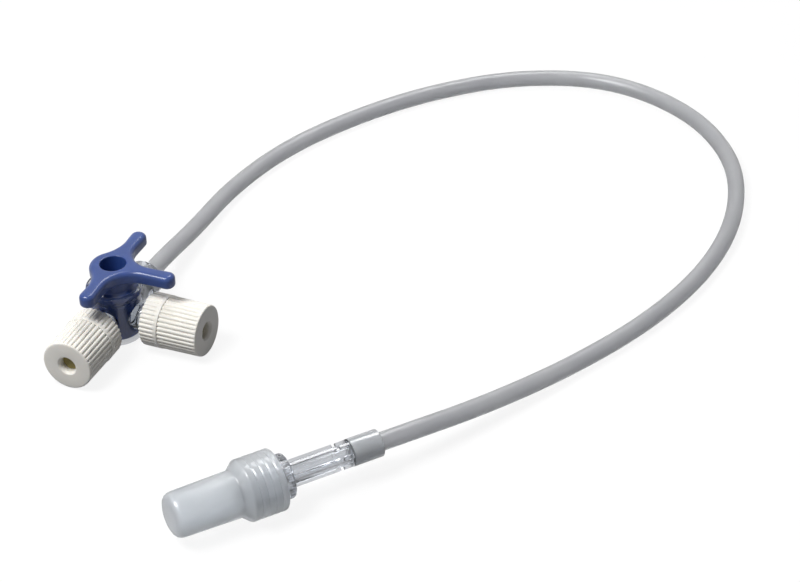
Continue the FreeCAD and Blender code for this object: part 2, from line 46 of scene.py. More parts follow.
AZIMUTH, ELEVATION, ROLL = math.radians(24.3), math.radians(34.85), math.radians(-1.92)
EYE = Vector((0.25332, -0.40237, 0.33679))
SENSOR_WIDTH, FOCAL_LENGTH = 36, 112.5
CLIP_START, CLIP_END = 0.01, 10


def aim():
    """The camera's right, up and forward directions."""
    ca, sa = math.cos(AZIMUTH), math.sin(AZIMUTH)
    ce, se = math.cos(ELEVATION), math.sin(ELEVATION)
    cr, sr = math.cos(ROLL), math.sin(ROLL)
    forward = Vector((-sa * ce, ca * ce, -se))
    right = Vector((ca, sa, 0))
    up = right.cross(forward)
    return right * cr + up * sr, up * cr - right * sr, forward


def add_camera():
    data = bpy.data.cameras.new("camera")
    data.sensor_width = SENSOR_WIDTH
    data.lens = FOCAL_LENGTH
    data.clip_start = CLIP_START
    data.clip_end = CLIP_END
    camera = new_object("camera", data)
    right, up, forward = aim()
    turn = Matrix((right, up, -forward)).transposed().to_4x4()
    camera.matrix_world = Matrix.Translation(EYE) @ turn
    bpy.context.scene.camera = camera


# Shader nodes

TONE_STOPS = (0.3, 0.7)
DRIFT_DETAIL, GRAIN_DETAIL = 3.0, 4.0
GLOSS_FINENESS, GRAIN_FINENESS = 3, 8
MOULDED_GRAIN = (0.15, 0.00003)
POLISHED_GRAIN = (0.01, 0.00001)
EXTRUDED_GRAIN = (0.04, 0.00001)
EVEN = (1.0, 1.0, 1.0)


class Nodes:
    """The node tree of a material or a world, with short ways to add and join nodes."""

    def __init__(self, owner, output):
        owner.use_nodes = True
        self.tree = owner.node_tree
        self.tree.nodes.clear()
        self.output = self.node(output)

    def node(self, kind, **sockets):
        """A node. Its sockets are set by name, with _ for a space."""
        node = self.tree.nodes.new(kind)
        for key, value in sockets.items():
            node.inputs[key.replace("_", " ")].default_value = value
        return node

    def join(self, source, target):
        self.tree.links.new(source, target)

    def noise(self, scale, detail=DRIFT_DETAIL):
        where = self.node("ShaderNodeTexCoord")
        noise = self.node("ShaderNodeTexNoise", Scale=scale, Detail=detail)
        self.join(where.outputs["Object"], noise.inputs["Vector"])
        return noise.outputs["Fac"]

    def tones(self, source, low, high):
        """A colour that drifts between two tones."""
        ramp = self.node("ShaderNodeValToRGB")
        for element, place, tone in zip(ramp.color_ramp.elements, TONE_STOPS, (low, high)):
            element.position = place
            element.color = (*tone, 1.0)
        self.join(source, ramp.inputs["Fac"])
        return ramp.outputs["Color"]

    def value_range(self, source, low, high):
        span = self.node("ShaderNodeMapRange", To_Min=low, To_Max=high)
        self.join(source, span.inputs["Value"])
        return span.outputs["Result"]

    def bump(self, source, strength, distance):
        bump = self.node("ShaderNodeBump", Strength=strength, Distance=distance)
        self.join(source, bump.inputs["Height"])
        return bump.outputs["Normal"]

    def math(self, operation, *values):
        """A Math node. Each value is a number or another node's output."""
        node = self.node("ShaderNodeMath")
        node.operation = operation
        for socket, value in zip(node.inputs, values):
            if isinstance(value, float):
                socket.default_value = value
            else:
                self.join(value, socket)
        return node.outputs["Value"]

    def mix(self, share, first, second):
        """The second shader in the given share, and the first in what is left."""
        node = self.node("ShaderNodeMixShader")
        for socket, source in zip(node.inputs, (share, first, second)):
            self.join(source, socket)
        return node.outputs["Shader"]


def srgb(r, g, b):
    """A colour given as it looks on screen, 0 to 255."""
    out = []
    for value in (r, g, b):
        c = value / 255
        out.append(c / 12.92 if c <= 0.04045 else ((c + 0.055) / 1.055) ** 2.4)
    return tuple(out)


def plastic(name, low, high, scale, rough, bump=MOULDED_GRAIN, depth_tint=None, **sockets):
    """A plastic whose colour drifts between two tones, on an uneven gloss and a faint grain.

    rough is the range of its roughness, bump the strength and depth of its grain, and depth_tint
    the colour and density that thick clear walls take on.
    """
    material = bpy.data.materials.new(name)
    nodes = Nodes(material, "ShaderNodeOutputMaterial")
    body = nodes.node("ShaderNodeBsdfPrincipled", **sockets)
    gloss = nodes.noise(scale * GLOSS_FINENESS)
    grain = nodes.noise(scale * GRAIN_FINENESS, GRAIN_DETAIL)
    nodes.join(nodes.tones(nodes.noise(scale), low, high), body.inputs["Base Color"])
    nodes.join(nodes.value_range(gloss, *rough), body.inputs["Roughness"])
    nodes.join(nodes.bump(grain, *bump), body.inputs["Normal"])
    nodes.join(body.outputs["BSDF"], nodes.output.inputs["Surface"])
    if depth_tint:
        colour, density = depth_tint
        inside = nodes.node("ShaderNodeVolumeAbsorption", Color=(*colour, 1), Density=density)
        nodes.join(inside.outputs["Volume"], nodes.output.inputs["Volume"])
    return material


BLUE = plastic(
    "blue_polyethylene", srgb(38, 63, 122), srgb(46, 72, 134), 150,
    rough=(0.27, 0.36), IOR=1.5, Specular_IOR_Level=0.32,
    Subsurface_Weight=0.2, Subsurface_Scale=0.0012, Subsurface_Radius=(0.2, 0.3, 1.0),
    Coat_Weight=0.25, Coat_Roughness=0.1,
)
IVORY = plastic(
    "ivory_styrene", srgb(226, 223, 215), srgb(234, 231, 224), 180,
    rough=(0.38, 0.48), IOR=1.5, Specular_IOR_Level=0.3,
    Subsurface_Weight=0.15, Subsurface_Scale=0.0008, Subsurface_Radius=(1.0, 0.8, 0.6),
)
RUBBER = plastic(
    "septum_rubber", srgb(136, 124, 70), srgb(156, 142, 84), 400,
    rough=(0.6, 0.75), IOR=1.45,
)
CLEAR = plastic(
    "clear_polycarbonate", srgb(240, 242, 245), srgb(245, 246, 248), 120,
    rough=(0.03, 0.07), bump=POLISHED_GRAIN, depth_tint=((0.78, 0.8, 0.83), 250),
    Transmission_Weight=1.0, IOR=1.58,
)
# The clear plastic where the tube is glued into it, faintly hazy
BONDED = plastic(
    "bonded_polycarbonate", srgb(224, 228, 232), srgb(232, 235, 238), 120,
    rough=(0.1, 0.16), Transmission_Weight=0.68, IOR=1.58,
    Coat_Weight=0.3, Coat_Roughness=0.08,
)
TUBE = plastic(
    "frosted_vinyl", srgb(212, 213, 216), srgb(219, 220, 222), 90,
    rough=(0.36, 0.44), bump=EXTRUDED_GRAIN, Transmission_Weight=0.85, IOR=1.42,
    Subsurface_Weight=0.35, Subsurface_Scale=0.0015, Subsurface_Radius=EVEN,
    Coat_Weight=0.35, Coat_Roughness=0.2,
)
MILKY = plastic(
    "milky_polyethylene", srgb(239, 243, 247), srgb(244, 247, 250), 130,
    rough=(0.34, 0.42), Transmission_Weight=0.86, IOR=1.45,
    Subsurface_Weight=0.3, Subsurface_Scale=0.0015, Subsurface_Radius=EVEN,
    Coat_Weight=0.5, Coat_Roughness=0.07,
)


# Mesh helpers. Lengths are in millimetres, and make_piece turns them to metres.

SHARP_EDGE = math.radians(38)
MERGE_DISTANCE = 1e-5
ON_AXIS = 1e-6
PORT_HEIGHT = 6.25
BARREL_MIDDLE = Vector((0, 0, PORT_HEIGHT))


def new_object(name, data):
    thing = bpy.data.objects.new(name, data)
    bpy.context.collection.objects.link(thing)
    return thing


def smooth_object(name, mesh):
    """An object whose smooth mesh has its sharp edges marked."""
    mesh.set_sharp_from_angle(angle=SHARP_EDGE)
    return new_object(name, mesh)


def make_piece(name, bm, place, material):
    """Turns a bmesh in millimetres into an object, placed by its vertices."""
    bmesh.ops.remove_doubles(bm, verts=bm.verts, dist=MERGE_DISTANCE)
    bmesh.ops.recalc_face_normals(bm, faces=bm.faces)
    bm.transform(Matrix.Scale(MM, 4) @ place)
    mesh = bpy.data.meshes.new(name)
    bm.to_mesh(mesh)
    bm.free()
    mesh.polygons.foreach_set("use_smooth", [True] * len(mesh.polygons))
    mesh.materials.append(material)
    return smooth_object(name, mesh)


def along_axis(direction, origin=BARREL_MIDDLE):
    """Places local Z along a direction from an origin."""
    turn = UP.rotation_difference(Vector(direction))
    return Matrix.Translation(origin) @ turn.to_matrix().to_4x4()


def ease(x, low, high):
    """Rises smoothly from 0 to 1 between two values of x."""
    t = min(max((x - low) / (high - low), 0), 1)
    return t * t * (3 - 2 * t)


def off_centre(angle, count):
    """The angle to the nearest of so many places, evenly spaced round the axis."""
    pitch = 2 * math.pi / count
    return abs((angle + pitch / 2) % pitch - pitch / 2)


def softened(profile, radii, closed=True, steps=4):
    """Rounds the corners of a (radius, along) outline. radii has one value for each corner."""
    out = []
    count = len(profile)
    for k, (point, radius) in enumerate(zip(profile, radii)):
        here = Vector(point)
        if radius <= 0 or (not closed and k in (0, count - 1)):
            out.append(tuple(here))
            continue
        before, after = Vector(profile[k - 1]) - here, Vector(profile[(k + 1) % count]) - here
        half = before.angle(after) / 2
        cut = min(radius / math.tan(half), 0.45 * before.length, 0.45 * after.length)
        first, last = here + before.normalized() * cut, here + after.normalized() * cut
        for step in range(steps + 1):
            t = step / steps
            out.append(tuple(first * (1 - t) ** 2 + here * 2 * t * (1 - t) + last * t * t))
    return out


def bridge(bm, here, there):
    """Faces between two rings of vertices. Either ring may be a single point."""
    count = max(len(here), len(there))
    for k in range(count):
        after = (k + 1) % count
        if len(here) == 1:
            bm.faces.new((here[0], there[after], there[k]))
        elif len(there) == 1:
            bm.faces.new((here[k], here[after], there[0]))
        else:
            bm.faces.new((here[k], here[after], there[after], there[k]))


def lathe(bm, profile, columns, shape=None, closed=True):
    """Turns a (radius, along) outline about local Z, and returns its rings.

    shape(radius, along, angle) may move a point's radius.
    """
    rings = []
    for radius, along in profile:
        if radius < ON_AXIS:
            rings.append([bm.verts.new((0, 0, along))])
            continue
        ring = []
        for k in range(columns):
            angle = 2 * math.pi * k / columns
            r = shape(radius, along, angle) if shape else radius
            ring.append(bm.verts.new((r * math.cos(angle), r * math.sin(angle), along)))
        rings.append(ring)
    for here, there in zip(rings, rings[1:]):
        bridge(bm, here, there)
    if closed:
        bridge(bm, rings[-1], rings[0])
    return rings


def turned_part(name, profile, columns, place):
    """A plain clear part, or a tool, from an outline that starts and ends on the axis."""
    bm = bmesh.new()
    lathe(bm, profile, columns, closed=False)
    return make_piece(name, bm, place, CLEAR)


def combined(name, base, operation, tools):
    """Joins meshes to a base or cuts them from it, and returns a new mesh."""
    for tool in tools:
        modifier = base.modifiers.new(tool.name, "BOOLEAN")
        modifier.operation = operation
        modifier.solver = "EXACT"
        modifier.object = tool
    graph = bpy.context.evaluated_depsgraph_get()
    mesh = bpy.data.meshes.new_from_object(base.evaluated_get(graph))
    mesh.name = name
    for thing in [base, *tools]:
        bpy.data.objects.remove(thing)
    return mesh


def ribbed(ribs, depth, width, outside, fade=None):
    """A shape for lathe: smooth grooves, evenly spaced round.

    There are none within the radius outside, and they fade out along the span fade.
    """

    def shape(radius, along, angle):
        off = off_centre(angle, ribs) * radius
        if radius < outside or off > width / 2:
            return radius
        share = 1 - ease(along, *fade) if fade else 1
        return radius - depth * share * (0.5 + 0.5 * math.cos(2 * math.pi * off / width))

    return shape


# Extension tube: a spline led by the points of the solid's route, and by one more at the sleeve's
# mouth. The solid joins straight runs by arcs at the same points.

TUBE_RADIUS = 2.05
BORE_RADIUS = 1.5
TUBE_COLUMNS = 48
TUBE_SEAT = 7.6
SOCKET_END = 14.5
CONNECTOR_TURN = math.radians(51.6)
ALONG = Vector((math.cos(CONNECTOR_TURN), math.sin(CONNECTOR_TURN), 0))
SLEEVE_MOUTH = Vector((76.3, -23.9, 6.85))
SLEEVE_INSIDE = 7.05
SPLINE_ORDER = 3
SPLINE_STEPS = 22

ROUTE = [
    Vector((0.0, TUBE_SEAT, PORT_HEIGHT)),
    Vector((0.0, 22.0, PORT_HEIGHT)),
    Vector((-1.1, 40.5, 3.0)),
    Vector((-1.7, 62.0, TUBE_RADIUS)),
    Vector((2.9, 83.8, TUBE_RADIUS)),
    Vector((12.9, 104.0, TUBE_RADIUS)),
    Vector((26.6, 122.8, TUBE_RADIUS)),
    Vector((45.6, 138.9, TUBE_RADIUS)),
    Vector((69.6, 145.9, TUBE_RADIUS)),
    Vector((94.2, 137.4, TUBE_RADIUS)),
    Vector((111.5, 118.9, TUBE_RADIUS)),
    Vector((119.5, 95.1, TUBE_RADIUS)),
    Vector((120.0, 70.0, TUBE_RADIUS)),
    Vector((113.7, 44.9, TUBE_RADIUS)),
    Vector((102.4, 21.2, TUBE_RADIUS)),
    Vector((90.9, -1.4, 4.5)),
    SLEEVE_MOUTH + ALONG * SLEEVE_INSIDE,
    SLEEVE_MOUTH + ALONG * 0.4,
    SLEEVE_MOUTH - ALONG * SLEEVE_INSIDE,
]


def read_spline(route):
    """Points in metres along the NURBS spline whose control points are the route's points."""
    curve = bpy.data.curves.new("route", "CURVE")
    curve.dimensions = "3D"
    curve.resolution_u = SPLINE_STEPS
    spline = curve.splines.new("NURBS")
    spline.points.add(len(route) - 1)
    for control, place in zip(spline.points, route):
        control.co = (*(place * MM), 1)
    spline.order_u = SPLINE_ORDER
    spline.use_endpoint_u = True
    thing = new_object("route", curve)
    mesh = bpy.data.meshes.new_from_object(thing)
    points = [vertex.co.copy() for vertex in mesh.vertices]
    bpy.data.objects.remove(thing)
    bpy.data.meshes.remove(mesh)
    bpy.data.curves.remove(curve)
    return points


def add_tube(points):
    """A tube with an open bore, swept along points in metres without twist."""
    bm = bmesh.new()
    count = len(points)
    side = None
    sections = []
    for k, here in enumerate(points):
        forward = (points[min(k + 1, count - 1)] - points[max(k - 1, 0)]).normalized()
        side = UP.cross(forward) if side is None else side - forward * side.dot(forward)
        side.normalize()
        across = forward.cross(side)
        rings = []
        for radius in (TUBE_RADIUS * MM, BORE_RADIUS * MM):
            ring = []
            for column in range(TUBE_COLUMNS):
                angle = 2 * math.pi * column / TUBE_COLUMNS
                place = here + (side * math.cos(angle) + across * math.sin(angle)) * radius
                ring.append(bm.verts.new(place))
            rings.append(ring)
        sections.append(rings)
    for here, there in zip(sections, sections[1:]):
        for near, far in zip(here, there):
            bridge(bm, near, far)
    for outer, inner in (sections[0], sections[-1]):
        bridge(bm, outer, inner)
    bm.transform(Matrix.Scale(1 / MM, 4))
    return make_piece("tubing", bm, Matrix.Identity(4), TUBE)


# Handle and plug: one moulding. Its plate is turned and shifted as in the photograph.

HALF_ARM = 1.75
ARM_BLEND = 6.5
ARM_REACH = 12.75
SIDE_ARM_REACH = 13.65
ARM_SWELL = 0.07
HANDLE_TURN = math.radians(1.6)
HANDLE_SHIFT = 0.35
HUB_X = -0.35
HUB_RADIUS = 5.2
LEFT_BLEND = 9.0
STRAIGHT_STEPS, BLEND_STEPS, LEFT_STEPS, ROUND_STEPS = 8, 20, 12, 24
PLATE_TOP = PORT_HEIGHT + 13.05
PLATE_BOTTOM = PLATE_TOP - 3.2
BOTTOM_ROUNDING, TOP_ROUNDING = 0.8, 1.1
BOTTOM_STEPS, TOP_STEPS = 4, 6
CORE_RADIUS = 3.05
CORE_CHAMFER = 0.6
PLUG_RADIUS = 4.17
PLUG_FOOT = 1.15
PLUG_COLUMNS = 96
SKIRT_RADIUS = 5.46
SKIRT_FLOOR = 11.94
WAIST_RADIUS = 4.75
SNAP_HEIGHT, SNAP_HALF, SNAP_DEPTH = 10.35, 0.4, 0.2
FLOW_RADIUS = 1.25
FLOW_REACH = 6
FLOW_COLUMNS = 32


def arc(centre, radius, first, last, count):
    points = []
    for k in range(count):
        angle = math.radians(first + (last - first) * k / count)
        points.append((centre[0] + radius * math.cos(angle), centre[1] + radius * math.sin(angle)))
    return points


def straight(start, end):
    (x, y), (end_x, end_y) = start, end
    return [
        (x + (end_x - x) * k / STRAIGHT_STEPS, y + (end_y - y) * k / STRAIGHT_STEPS)
        for k in range(STRAIGHT_STEPS)
    ]


def arm_outline(inset):
    """The plate's outline moved inwards, with the same number of points for every inset."""
    centre = HALF_ARM + ARM_BLEND
    half = HALF_ARM - inset
    blend = ARM_BLEND + inset
    hub = HUB_RADIUS - inset
    left = HALF_ARM + LEFT_BLEND
    left_blend = LEFT_BLEND + inset
    across = left + HUB_X
    blend_y = math.sqrt((HUB_RADIUS + LEFT_BLEND) ** 2 - across**2)
    meet = math.degrees(math.atan2(blend_y, across))
    outline = [
        *straight((half, -ARM_REACH), (half, -centre)),
        *arc((centre, -centre), blend, 180, 90, BLEND_STEPS),
        *straight((centre, -half), (SIDE_ARM_REACH, -half)),
        *arc((SIDE_ARM_REACH, 0), half, -90, 90, ROUND_STEPS),
        *straight((SIDE_ARM_REACH, half), (centre, half)),
        *arc((centre, centre), blend, 270, 180, BLEND_STEPS),
        *straight((half, centre), (half, ARM_REACH)),
        *arc((0, ARM_REACH), half, 0, 180, ROUND_STEPS),
        *straight((-half, ARM_REACH), (-half, blend_y)),
        *arc((-left, blend_y), left_blend, 0, -meet, LEFT_STEPS),
        *arc((HUB_X, 0), hub, 180 - meet, 180 + meet, ROUND_STEPS),
        *arc((-left, -blend_y), left_blend, meet, 0, LEFT_STEPS),
        *straight((-half, -blend_y), (-half, -ARM_REACH)),
        *arc((0, -ARM_REACH), half, 180, 360, ROUND_STEPS),
    ]
    swollen = []
    for x, y in outline:
        wide_x = 1 + ARM_SWELL * ease(abs(y), centre, ARM_REACH)
        wide_y = 1 + ARM_SWELL * ease(x, centre, SIDE_ARM_REACH)
        swollen.append((x * wide_x if abs(y) > centre else x, y * wide_y if x > centre else y))
    return swollen


def plate_rings():
    """(inset, height) of the plate's rounded side, from its bottom face to its top face."""
    rings = []
    for k in range(BOTTOM_STEPS + 1):
        a = math.radians(90 * k / BOTTOM_STEPS)
        inset = BOTTOM_ROUNDING * (1 - math.sin(a))
        rings.append((inset, PLATE_BOTTOM + BOTTOM_ROUNDING * (1 - math.cos(a))))
    for k in range(TOP_STEPS + 1):
        a = math.radians(90 * k / TOP_STEPS)
        inset = TOP_ROUNDING * (1 - math.cos(a))
        rings.append((inset, PLATE_TOP - TOP_ROUNDING * (1 - math.sin(a))))
    return rings


def snap(radius):
    """Three points of an outline: the barrel's snap bead, or the plug's groove round it."""
    return [
        (radius, SNAP_HEIGHT - SNAP_HALF),
        (radius - SNAP_DEPTH, SNAP_HEIGHT),
        (radius, SNAP_HEIGHT + SNAP_HALF),
    ]


def edge_loop(bm, ring):
    return [bm.edges.get((ring[k], ring[(k + 1) % len(ring)])) for k in range(len(ring))]


def channel(name, axis, start, end):
    """A tool for one branch of the plug's bore, at right angles to an axis."""
    place = Matrix.Translation(BARREL_MIDDLE) @ Matrix.Rotation(math.radians(90), 4, axis)
    profile = [(0, start), (FLOW_RADIUS, start), (FLOW_RADIUS, end), (0, end)]
    return turned_part(name, profile, FLOW_COLUMNS, place)


def add_handle():
    bm = bmesh.new()
    ct, st = math.cos(HANDLE_TURN), math.sin(HANDLE_TURN)
    rings = []
    for inset, height in plate_rings():
        ring = []
        for x, y in arm_outline(inset):
            place = (x * ct - y * st + HANDLE_SHIFT, x * st + y * ct, height)
            ring.append(bm.verts.new(place))
        rings.append(ring)
    for here, there in zip(rings, rings[1:]):
        bridge(bm, here, there)
    plug = softened(
        [
            (0, PLUG_FOOT), (PLUG_RADIUS, PLUG_FOOT), *snap(PLUG_RADIUS),
            (PLUG_RADIUS, SKIRT_FLOOR), (SKIRT_RADIUS, SKIRT_FLOOR), (SKIRT_RADIUS, 13.3),
            (WAIST_RADIUS, 13.8), (WAIST_RADIUS, PLATE_BOTTOM),
        ],
        [0, 0.15, 0.05, 0.05, 0.05, 0, 0.05, 0.2, 0.4, 0],
        closed=False,
    )
    hole = softened(
        [
            (CORE_RADIUS + CORE_CHAMFER, PLATE_TOP), (CORE_RADIUS, PLATE_TOP), (2.6, 11.2),
            (0, 10.8),
        ],
        [0, 0.55, 0.4, 0],
        closed=False,
    )
    under = lathe(bm, plug, PLUG_COLUMNS, closed=False)
    well = lathe(bm, hole, PLUG_COLUMNS, closed=False)
    well_verts = [vertex for ring in well for vertex in ring]
    bmesh.ops.translate(bm, verts=well_verts, vec=(HANDLE_SHIFT, 0, 0))
    for outer, inner in ((rings[0], under[-1]), (rings[-1], well[0])):
        edges = edge_loop(bm, outer) + edge_loop(bm, inner)
        bmesh.ops.triangle_fill(bm, use_beauty=True, use_dissolve=False, edges=edges)
    handle = make_piece("handle", bm, Matrix.Identity(4), BLUE)
    tools = [
        channel("through", "X", -FLOW_REACH, FLOW_REACH),
        channel("branch", "Y", 0, FLOW_REACH),
    ]
    return smooth_object("handle", combined("handle", handle, "DIFFERENCE", tools))


# Housing

INLINE, SIDE, OUTLET = (0, -1, 0), (1, 0, 0), (0, 1, 0)
BARREL_COLUMNS, NECK_COLUMNS, BORE_COLUMNS = 128, 96, 64
FOOT_RADIUS, BARREL_RADIUS, RIM_RADIUS = 5.5, 5.9, 6.5
CUP_FLOOR = 11.95
RIM_TOP = 13.35
WELL_RADIUS, WELL_FLOOR = 4.15, 1.0
CUP_RADIUS = 5.45
ABOVE_RIM = 0.3
NECK_RADIUS = 3.3
PORT_MOUTH = 16.95
SOCKET_RADIUS = 4.5
TAPER_START, TAPER_IN, TAPER_OUT = 9.15, 1.92, 2.155
PAST_PORT, PAST_SOCKET = 18, 15
SEAT_RADIUS = 2.0
LUG_OUTER, LUG_INNER, LUG_LENGTH = 3.9, 2.9, 2.0
LUG_HALF_ANGLE, LUG_STEPS = 32, 12


def lug_pair(name, direction):
    """The two luer lock lugs at a port's mouth."""
    bm = bmesh.new()
    for side in (0, 180):
        outline = []
        for radius, sense in ((LUG_OUTER, 1), (LUG_INNER, -1)):
            for k in range(LUG_STEPS + 1):
                swept = sense * 2 * LUG_HALF_ANGLE * k / LUG_STEPS
                a = math.radians(side - sense * LUG_HALF_ANGLE + swept)
                outline.append((radius * math.cos(a), radius * math.sin(a)))
        bottom, top = [], []
        for x, y in outline:
            bottom.append(bm.verts.new((x, y, PORT_MOUTH - LUG_LENGTH)))
            top.append(bm.verts.new((x, y, PORT_MOUTH)))
        bm.faces.new(bottom[::-1])
        bm.faces.new(top)
        bridge(bm, bottom, top)
    turn = Matrix.Rotation(math.radians(90), 4, "Z") if direction[0] else Matrix.Identity(4)
    return make_piece(name, bm, along_axis(direction) @ turn, CLEAR)


def add_housing():
    barrel = softened(
        [
            (0, 0), (FOOT_RADIUS, 0), (BARREL_RADIUS, 0.45), (BARREL_RADIUS, CUP_FLOOR - 0.4),
            (RIM_RADIUS, CUP_FLOOR), (RIM_RADIUS, RIM_TOP), (0, RIM_TOP),
        ],
        [0, 0.25, 0.25, 0.4, 0.35, 0.3, 0],
        closed=False,
    )
    neck = softened(
        [(0, 0), (NECK_RADIUS, 0), (NECK_RADIUS, PORT_MOUTH), (0, PORT_MOUTH)],
        [0, 0, 0.2, 0],
        closed=False,
    )
    socket = softened(
        [
            (0, 0), (NECK_RADIUS, 0), (NECK_RADIUS, 8.9), (SOCKET_RADIUS, 9.6),
            (SOCKET_RADIUS, SOCKET_END), (0, SOCKET_END),
        ],
        [0, 0, 0.4, 0.4, 0.45, 0],
        closed=False,
    )
    base = turned_part("barrel", barrel, BARREL_COLUMNS, Matrix.Identity(4))
    additions = [
        turned_part("inline_neck", neck, NECK_COLUMNS, along_axis(INLINE)),
        turned_part("side_neck", neck, NECK_COLUMNS, along_axis(SIDE)),
        turned_part("outlet", socket, NECK_COLUMNS, along_axis(OUTLET)),
        lug_pair("inline_lugs", INLINE),
        lug_pair("side_lugs", SIDE),
    ]
    whole = new_object("whole", combined("whole", base, "UNION", additions))
    well = softened(
        [
            (0, WELL_FLOOR), (WELL_RADIUS, WELL_FLOOR), *snap(WELL_RADIUS),
            (WELL_RADIUS, CUP_FLOOR), (CUP_RADIUS, CUP_FLOOR), (CUP_RADIUS, RIM_TOP),
            (CUP_RADIUS + 0.25, RIM_TOP + ABOVE_RIM), (0, RIM_TOP + ABOVE_RIM),
        ],
        [0, 0.15, 0.05, 0.05, 0.05, 0.1, 0.1, 0.15, 0, 0],
        closed=False,
    )
    taper = [
        (0, TAPER_START), (TAPER_IN, TAPER_START), (TAPER_OUT, PORT_MOUTH), (TAPER_OUT, PAST_PORT),
        (0, PAST_PORT),
    ]
    seat = [(0, TUBE_SEAT), (SEAT_RADIUS, TUBE_SEAT), (SEAT_RADIUS, PAST_SOCKET), (0, PAST_SOCKET)]
    cuts = [
        turned_part("well", well, BARREL_COLUMNS, Matrix.Identity(4)),
        turned_part("inline_bore", taper, BORE_COLUMNS, along_axis(INLINE)),
        turned_part("side_bore", taper, BORE_COLUMNS, along_axis(SIDE)),
        turned_part("tube_bore", seat, BORE_COLUMNS, along_axis(OUTLET)),
    ]
    return smooth_object("clear_housing", combined("clear_housing", whole, "DIFFERENCE", cuts))


# Injection stoppers. Local Z runs out from the rear face.

STOPPER_START = 8.9
RIBS = 36
RIB_COLUMNS = RIBS * 12
RIB_DEPTH, RIB_WIDTH = 0.34, 0.74
RIBBED_OUTSIDE, LONG_SPAN = 5.5, 1.0
FLANGE_RADIUS, FLANGE_END = 6.25, 4.6
CORE_SIDE, CORE_END = 4.95, 9.4
CAP_BORE, CAP_FLOOR, CAP_END = 4.97, 12.4, 14.4
SEPTUM_RADIUS, SEPTUM_START, SEPTUM_END = 4.9, 9.42, 12.38
SEPTUM_COLUMNS = 96


def ribbed_profile(profile, radii, low, high, steps):
    """Softens an outline, and adds points to its long outer spans, from low to high.

    The ribs end there, and the points give their ends a good shape.
    """
    soft = softened(profile, radii)
    out = []
    for k, here in enumerate(soft):
        out.append(here)
        there = soft[(k + 1) % len(soft)]
        if min(here[0], there[0]) <= RIBBED_OUTSIDE or abs(here[1] - there[1]) <= LONG_SPAN:
            continue
        for step in range(1, steps):
            t = step / steps
            place = here[1] + (there[1] - here[1]) * t
            if low <= place <= high:
                out.append((here[0] + (there[0] - here[0]) * t, place))
    return out


def add_stopper(port, direction, turn):
    """The flange with its luer nose, the cap with its needle hole, and the rubber septum."""
    start = Matrix.Translation((0, 0, STOPPER_START))
    place = along_axis(direction) @ start @ Matrix.Rotation(turn, 4, "Z")

    profile = ribbed_profile(
        [
            (4.15, 0), (FLANGE_RADIUS, 0), (FLANGE_RADIUS, 3.6), (FLANGE_RADIUS, FLANGE_END),
            (CORE_SIDE, FLANGE_END), (CORE_SIDE, CORE_END), (1.0, CORE_END), (1.0, 1.0),
            (1.68, 1.0), (1.87, 8.2), (4.15, 8.2),
        ],
        [0.3, 0.35, 0, 0.2, 0, 0.2, 0, 0.1, 0.3, 0, 0.3],
        low=3.0, high=3.9, steps=30,
    )
    bm = bmesh.new()
    lathe(bm, profile, RIB_COLUMNS, ribbed(RIBS, RIB_DEPTH, RIB_WIDTH, 5.6, fade=(3.3, 3.75)))
    base = make_piece(f"{port}_flange", bm, place, IVORY)

    profile = ribbed_profile(
        [
            (CAP_BORE, FLANGE_END), (6.15, FLANGE_END), (6.05, CAP_END), (2.35, CAP_END),
            (1.95, 13.8), (1.92, CAP_FLOOR), (CAP_BORE, CAP_FLOOR),
        ],
        [0.1, 0.12, 0.5, 0.25, 0.25, 0.05, 0.05],
        low=12.8, high=14.4, steps=40,
    )
    bm = bmesh.new()
    lathe(bm, profile, RIB_COLUMNS, ribbed(RIBS, RIB_DEPTH, RIB_WIDTH, 5.3, fade=(13.6, 14.3)))
    cap = make_piece(f"{port}_cap", bm, place, IVORY)

    disc = softened(
        [
            (0, SEPTUM_START), (SEPTUM_RADIUS, SEPTUM_START), (SEPTUM_RADIUS, SEPTUM_END),
            (1.9, SEPTUM_END), (1.9, 12.7), (0.8, 12.85), (0, 12.9),
        ],
        [0, 0.1, 0.1, 0, 0.2, 0.3, 0],
        closed=False,
    )
    bm = bmesh.new()
    lathe(bm, disc, SEPTUM_COLUMNS, closed=False)
    septum = make_piece(f"{port}_septum", bm, place, RUBBER)
    return base, cap, septum


# Connector. Local Z runs from the protector's tip to the mouth of the sleeve.

CONNECTOR_END = 48.9
ON_CONNECTOR = along_axis(ALONG, SLEEVE_MOUTH - ALONG * CONNECTOR_END)
HUB_COLUMNS = 288
SHANK_RADIUS = 2.3
SLEEVE_RADIUS = 3.08
FINS, FIN_WIDTH, FIN_HEIGHT, FIN_MIDDLE = 6, 0.8, 0.7, 2.7
FIN_START, FIN_END = 27.3, 41.7
NOTCH_START, NOTCH_END = 38.6, 39.5
COLLAR_RIBS, COLLAR_RIB_DEPTH, COLLAR_RIB_WIDTH = 18, 0.22, 0.9
COLLAR_COLUMNS = COLLAR_RIBS * 14
PROTECTOR_COLUMNS = 144
PROTECTOR_WALL_END = 1.0
SKIRT_SIDE, SKIRT_START, SKIRT_END = 6.85, 16.9, 24.65
RING_GROOVES, RING_PITCH = 4, 1.55


def finned(radius, along, angle):
    """A shape for lathe: fins on the shank, with a notch across them near the sleeve."""
    if abs(radius - SHANK_RADIUS) > 0.01 or not FIN_START - 0.01 <= along <= FIN_END + 0.4:
        return radius
    if NOTCH_START + 0.02 < along < NOTCH_END - 0.02:
        return radius
    off = off_centre(angle, FINS) * FIN_MIDDLE
    return radius + FIN_HEIGHT * (1 - ease(off, FIN_WIDTH / 2 - 0.03, FIN_WIDTH / 2 + 0.12))


